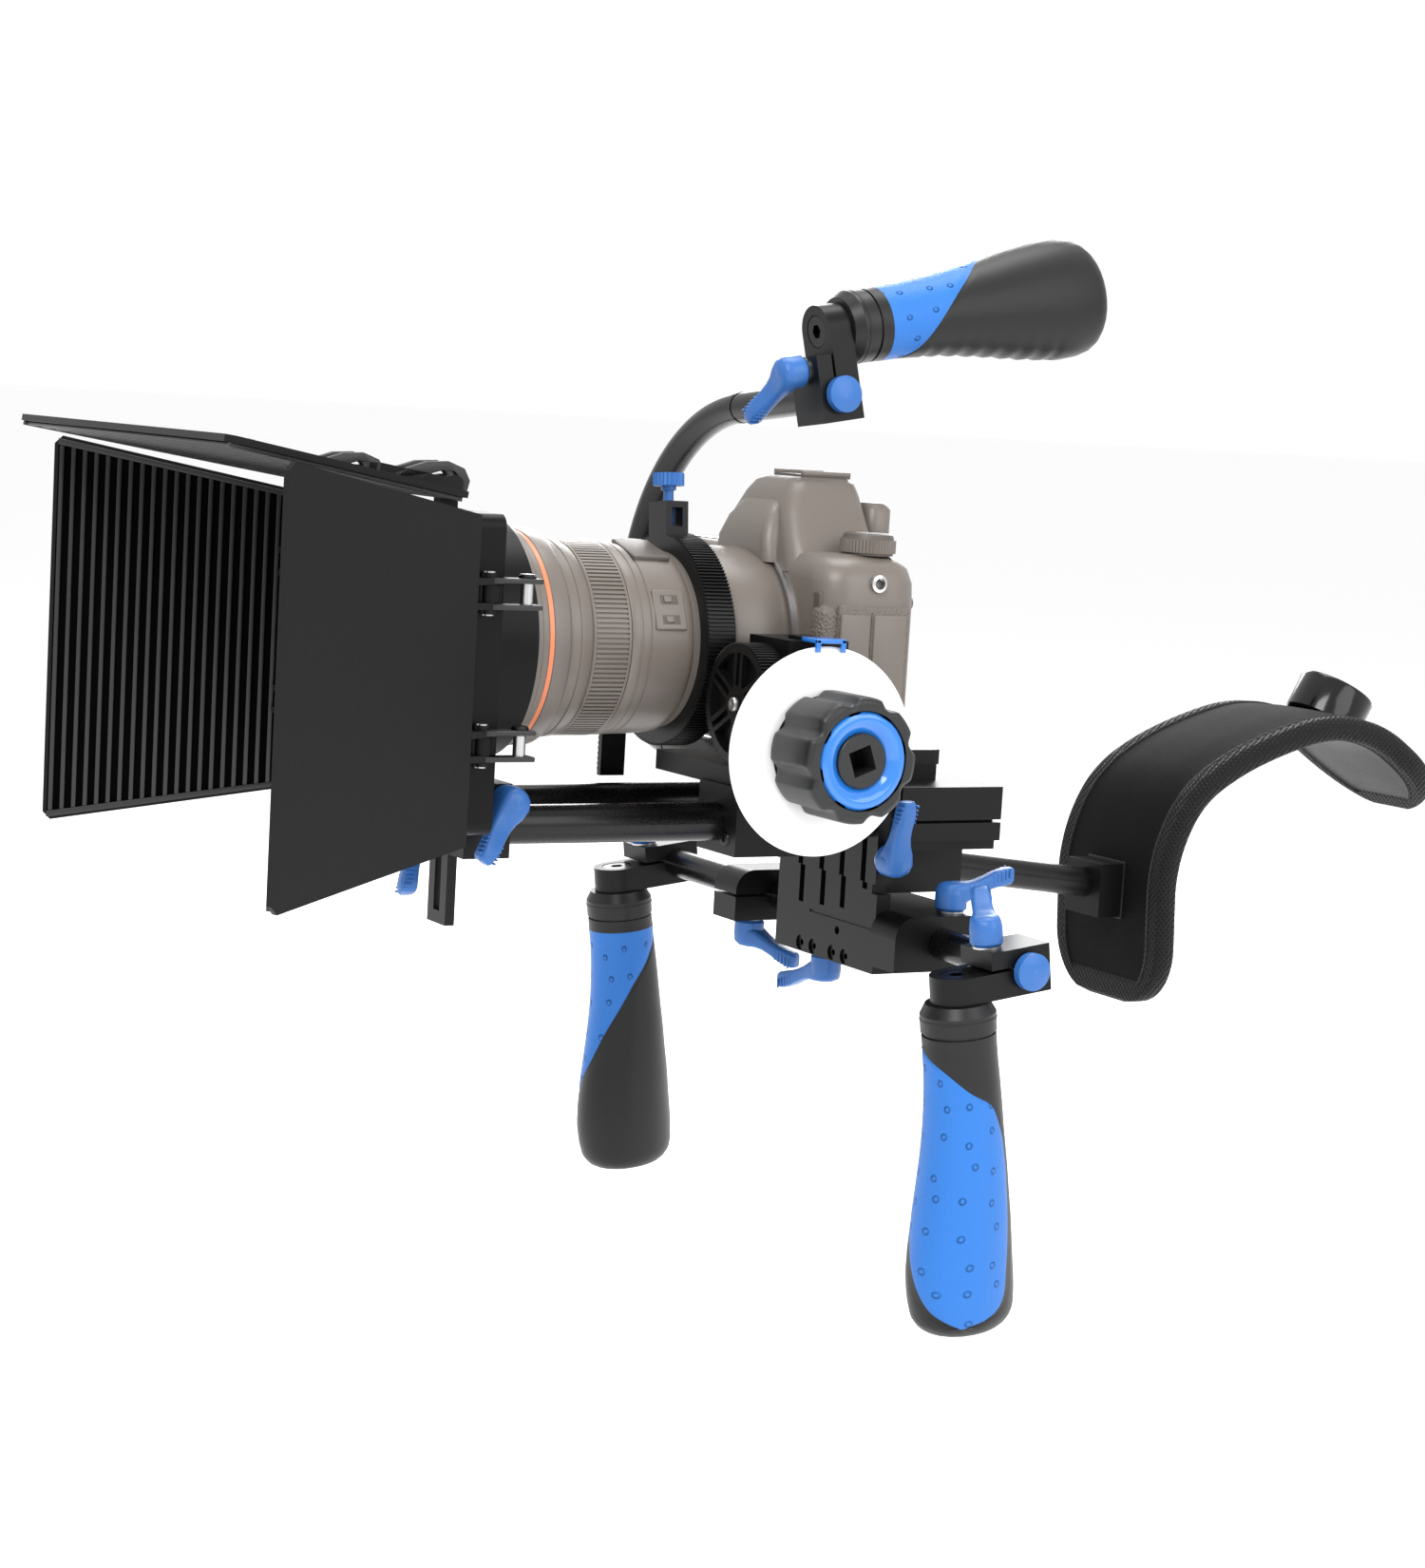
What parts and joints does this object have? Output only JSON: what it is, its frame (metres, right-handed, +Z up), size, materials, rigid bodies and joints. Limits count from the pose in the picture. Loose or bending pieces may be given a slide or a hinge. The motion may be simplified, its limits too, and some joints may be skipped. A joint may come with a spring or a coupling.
{
  "type": "cinema camera rig",
  "caption": "Shoulder rig with a mirrorless camera, matte box with flags, geared follow focus, side and top handles, and a padded shoulder rest.",
  "frame": {"origin": "mouth of the tripod thread in the underside of the lower block", "axes": "+Z up, the lens looks along -Y, +X is the operator's left"},
  "size_m": [0.3187, 0.6193, 0.4228],
  "materials": {
    "black_alloy": "black anodised",
    "black_tube": "black anodised",
    "screw_steel": "dark steel",
    "blue_plastic": "satin blue",
    "collar_plastic": "satin",
    "grip_rubber": "fine grained",
    "pad_fabric": "foam under neoprene",
    "weight_paint": "gloss black",
    "flag_plastic": "satin",
    "camera_plastic": "satin taupe",
    "lens_glass": "coated",
    "camera_rubber": "ribbed",
    "dial_metal": "knurled",
    "gear_plastic": "moulded",
    "disc_plastic": "white",
    "knob_plastic": "soft grey"
  },
  "bodies": {
    "base": {"upper_rods": "black_tube", "upper_block": "black_alloy", "camera_plate": "black_alloy", "plate_screws": "screw_steel", "riser_plate": "black_alloy", "lower_block": "black_alloy", "cross_rod": "black_tube", "rod_caps": "blue_plastic", "rod_clamps": "black_alloy", "handle_tube": "black_tube", "handle_tube_clamp": "black_alloy", "lens_barrel": "camera_plastic", "front_glass": "lens_glass", "camera_body": "camera_plastic", "focus_bracket": "black_alloy", "focus_gearbox": "black_alloy"},
    "shoulder_support": {"shoulder_rod": "black_tube", "pad_bracket": "black_alloy", "shoulder_pad": "pad_fabric", "counterweight": "weight_paint"},
    "matte_box": {"matte_rod_clamp": "black_alloy", "height_bar": "black_alloy", "matte_frame": "flag_plastic", "lens_cone": "black_alloy"},
    "knob": {"knob_shaft": "screw_steel", "marking_disc": "disc_plastic", "focus_knob": "knob_plastic"},
    "near_handle": {"near_arm": "black_alloy", "near_grip_bolt": "screw_steel"},
    "near_swivel": {"near_grip_collar": "collar_plastic", "near_grip": "grip_rubber"},
    "near_lever_body": {"near_handle_lever": "blue_plastic"},
    "far_handle": {"far_arm": "black_alloy", "far_grip_bolt": "screw_steel"},
    "far_swivel": {"far_grip_collar": "collar_plastic", "far_grip": "grip_rubber"},
    "far_lever_body": {"far_handle_lever": "blue_plastic"},
    "top_handle": {"top_arm": "black_alloy", "top_grip_bolt": "screw_steel"},
    "top_swivel": {"top_grip_collar": "collar_plastic", "top_grip": "grip_rubber"},
    "top_lever_body": {"top_handle_lever": "blue_plastic"},
    "top_flag_body": {"top_flag": "flag_plastic"},
    "near_flag_body": {"near_flag": "flag_plastic"},
    "far_flag_body": {"far_flag": "flag_plastic"},
    "zoom_ring_body": {"zoom_ring": "camera_rubber"},
    "lens_gear_ring_body": {"lens_gear_ring": "gear_plastic"},
    "gear_ring_screw_body": {"gear_ring_screw": "blue_plastic"},
    "mode_dial_body": {"mode_dial": "dial_metal"},
    "shutter_button_body": {"shutter_button": "dial_metal"},
    "rear_dial_body": {"rear_dial": "dial_metal"},
    "drive_gear_body": {"drive_gear": "gear_plastic"},
    "cross_shaft_body": {"cross_shaft": "screw_steel"},
    "right_clamp_lever_body": {"right_clamp_lever": "blue_plastic"},
    "left_clamp_lever_body": {"left_clamp_lever": "blue_plastic"},
    "lower_block_lever_body": {"lower_block_lever": "blue_plastic"},
    "riser_right_lever_body": {"riser_right_lever": "blue_plastic"},
    "riser_left_lever_body": {"riser_left_lever": "blue_plastic"},
    "matte_clamp_lever_body": {"matte_clamp_lever": "blue_plastic"},
    "height_bar_lever_body": {"height_bar_lever": "blue_plastic"}
  },
  "joints": [
    {"name": "near_handle_pitch", "type": "hinge", "parent": "base", "child": "near_handle", "pos_m": [0.1055, 0, 0.015], "axis": [1, 0, 0], "range_deg": [-45, 60]},
    {"name": "near_grip_swivel", "type": "hinge", "parent": "near_handle", "child": "near_swivel", "pos_m": [0.1055, -0.02453, 0.00209], "axis": [0, -0.1305, 0.9914], "range_deg": [-60, 60]},
    {"name": "near_handle_clamp", "type": "hinge", "parent": "near_handle", "child": "near_lever_body", "pos_m": [0.1055, -0.01262, 0.02272], "axis": [0, -0.1305, 0.9914], "range_deg": [-60, 60]},
    {"name": "far_handle_pitch", "type": "hinge", "parent": "base", "child": "far_handle", "pos_m": [-0.17, 0, 0.015], "axis": [1, 0, 0], "range_deg": [-45, 60]},
    {"name": "far_grip_swivel", "type": "hinge", "parent": "far_handle", "child": "far_swivel", "pos_m": [-0.17, -0.02453, 0.00209], "axis": [0, -0.1305, 0.9914], "range_deg": [-60, 60]},
    {"name": "far_handle_clamp", "type": "hinge", "parent": "far_handle", "child": "far_lever_body", "pos_m": [-0.17, -0.01262, 0.02272], "axis": [0, -0.1305, 0.9914], "range_deg": [-60, 60]},
    {"name": "top_handle_pitch", "type": "hinge", "parent": "base", "child": "top_handle", "pos_m": [0, -0.034, 0.2289], "axis": [0.9954, 0, 0.0958], "range_deg": [-40, 40]},
    {"name": "top_grip_swivel", "type": "hinge", "parent": "top_handle", "child": "top_swivel", "pos_m": [-0.00261, -0.02906, 0.25604], "axis": [0.0166, -0.9848, -0.1728], "range_deg": [-60, 60]},
    {"name": "top_handle_clamp", "type": "hinge", "parent": "top_handle", "child": "top_lever_body", "pos_m": [-0.00093, -0.04516, 0.23856], "axis": [0.0166, -0.9848, -0.1728], "range_deg": [-60, 60]},
    {"name": "shoulder_slide", "type": "slide", "parent": "base", "child": "shoulder_support", "axis": [0, 0.9925, -0.1219], "range_m": [0, 0.025]},
    {"name": "matte_box_slide", "type": "slide", "parent": "base", "child": "matte_box", "axis": [0, -1, 0], "range_m": [0, 0.015]},
    {"name": "top_flag_hinge", "type": "hinge", "parent": "matte_box", "child": "top_flag_body", "pos_m": [0, -0.218, 0.188], "axis": [-1, 0, 0], "range_deg": [-1, 60]},
    {"name": "near_flag_hinge", "type": "hinge", "parent": "matte_box", "child": "near_flag_body", "pos_m": [0.077, -0.218, 0.121], "axis": [0, 0, 1], "range_deg": [-20, 30]},
    {"name": "far_flag_hinge", "type": "hinge", "parent": "matte_box", "child": "far_flag_body", "pos_m": [-0.077, -0.218, 0.121], "axis": [0, 0, -1], "range_deg": [-20, 30]},
    {"name": "zoom_turn", "type": "hinge", "parent": "base", "child": "zoom_ring_body", "pos_m": [0, -0.1455, 0.1304], "axis": [0, 1, 0], "range_deg": [-35, 35]},
    {"name": "knob_turn", "type": "hinge", "parent": "base", "child": "knob", "pos_m": [0.06158, -0.082, 0.09622], "axis": [1, 0, 0], "range_deg": [-90, 5]},
    {"name": "cross_shaft_turn", "type": "hinge", "parent": "base", "child": "cross_shaft_body", "pos_m": [0.06158, -0.076, 0.09622], "axis": [0, 1, 0], "range_deg": [-5.2, 90.2]},
    {"name": "drive_gear_turn", "type": "hinge", "parent": "base", "child": "drive_gear_body", "pos_m": [0.06158, -0.098, 0.11122], "axis": [0, 1, 0], "range_deg": [-90.2, 5.2]},
    {"name": "lens_ring_turn", "type": "hinge", "parent": "base", "child": "lens_gear_ring_body", "pos_m": [0, -0.1, 0.1304], "axis": [0, 1, 0], "range_deg": [-3, 50.1]},
    {"name": "ring_screw_turn", "type": "hinge", "parent": "lens_gear_ring_body", "child": "gear_ring_screw_body", "pos_m": [-0.00627, -0.101, 0.19007], "axis": [-0.1045, 0, 0.9945], "range_deg": [-180, 180]},
    {"name": "mode_dial_turn", "type": "hinge", "parent": "base", "child": "mode_dial_body", "pos_m": [0.043, -0.038, 0.168], "axis": [0, 0, 1], "continuous": true},
    {"name": "rear_dial_turn", "type": "hinge", "parent": "base", "child": "rear_dial_body", "pos_m": [-0.062, -0.021, 0.122], "axis": [0, 1, 0], "continuous": true},
    {"name": "shutter_press", "type": "slide", "parent": "base", "child": "shutter_button_body", "axis": [0, 0, -1], "range_m": [0, 0.0014], "stiffness_N_per_m": 400, "springref_m": -0.001},
    {"name": "right_clamp_turn", "type": "hinge", "parent": "base", "child": "right_clamp_lever_body", "pos_m": [0.0476, 0.0092, 0.026], "axis": [0, 0, 1], "range_deg": [-60, 60]},
    {"name": "left_clamp_turn", "type": "hinge", "parent": "base", "child": "left_clamp_lever_body", "pos_m": [-0.0777, -0.0092, 0.004], "axis": [0, 0, -1], "range_deg": [-60, 60]},
    {"name": "lower_block_turn", "type": "hinge", "parent": "base", "child": "lower_block_lever_body", "pos_m": [-0.0133, -0.0096, 0], "axis": [0, 0, -1], "range_deg": [-60, 60]},
    {"name": "riser_right_turn", "type": "hinge", "parent": "base", "child": "riser_right_lever_body", "pos_m": [0.038, -0.017, 0.0468], "axis": [1, 0, 0], "range_deg": [-60, 60]},
    {"name": "riser_left_turn", "type": "hinge", "parent": "base", "child": "riser_left_lever_body", "pos_m": [-0.038, -0.017, 0.042], "axis": [-1, 0, 0], "range_deg": [-10, 80]},
    {"name": "matte_clamp_turn", "type": "hinge", "parent": "matte_box", "child": "matte_clamp_lever_body", "pos_m": [0.042, -0.1905, 0.0726], "axis": [1, 0, 0], "range_deg": [-8, 60]},
    {"name": "height_bar_turn", "type": "hinge", "parent": "matte_box", "child": "height_bar_lever_body", "pos_m": [0, -0.1985, 0.056], "axis": [0, -1, 0], "range_deg": [-45, 45]}
  ],
  "couplings": [
    {"joint": "cross_shaft_turn", "follows": "knob_turn", "ratio": -1},
    {"joint": "drive_gear_turn", "follows": "knob_turn", "ratio": 1},
    {"joint": "lens_ring_turn", "follows": "knob_turn", "ratio": -0.55422}
  ]
}
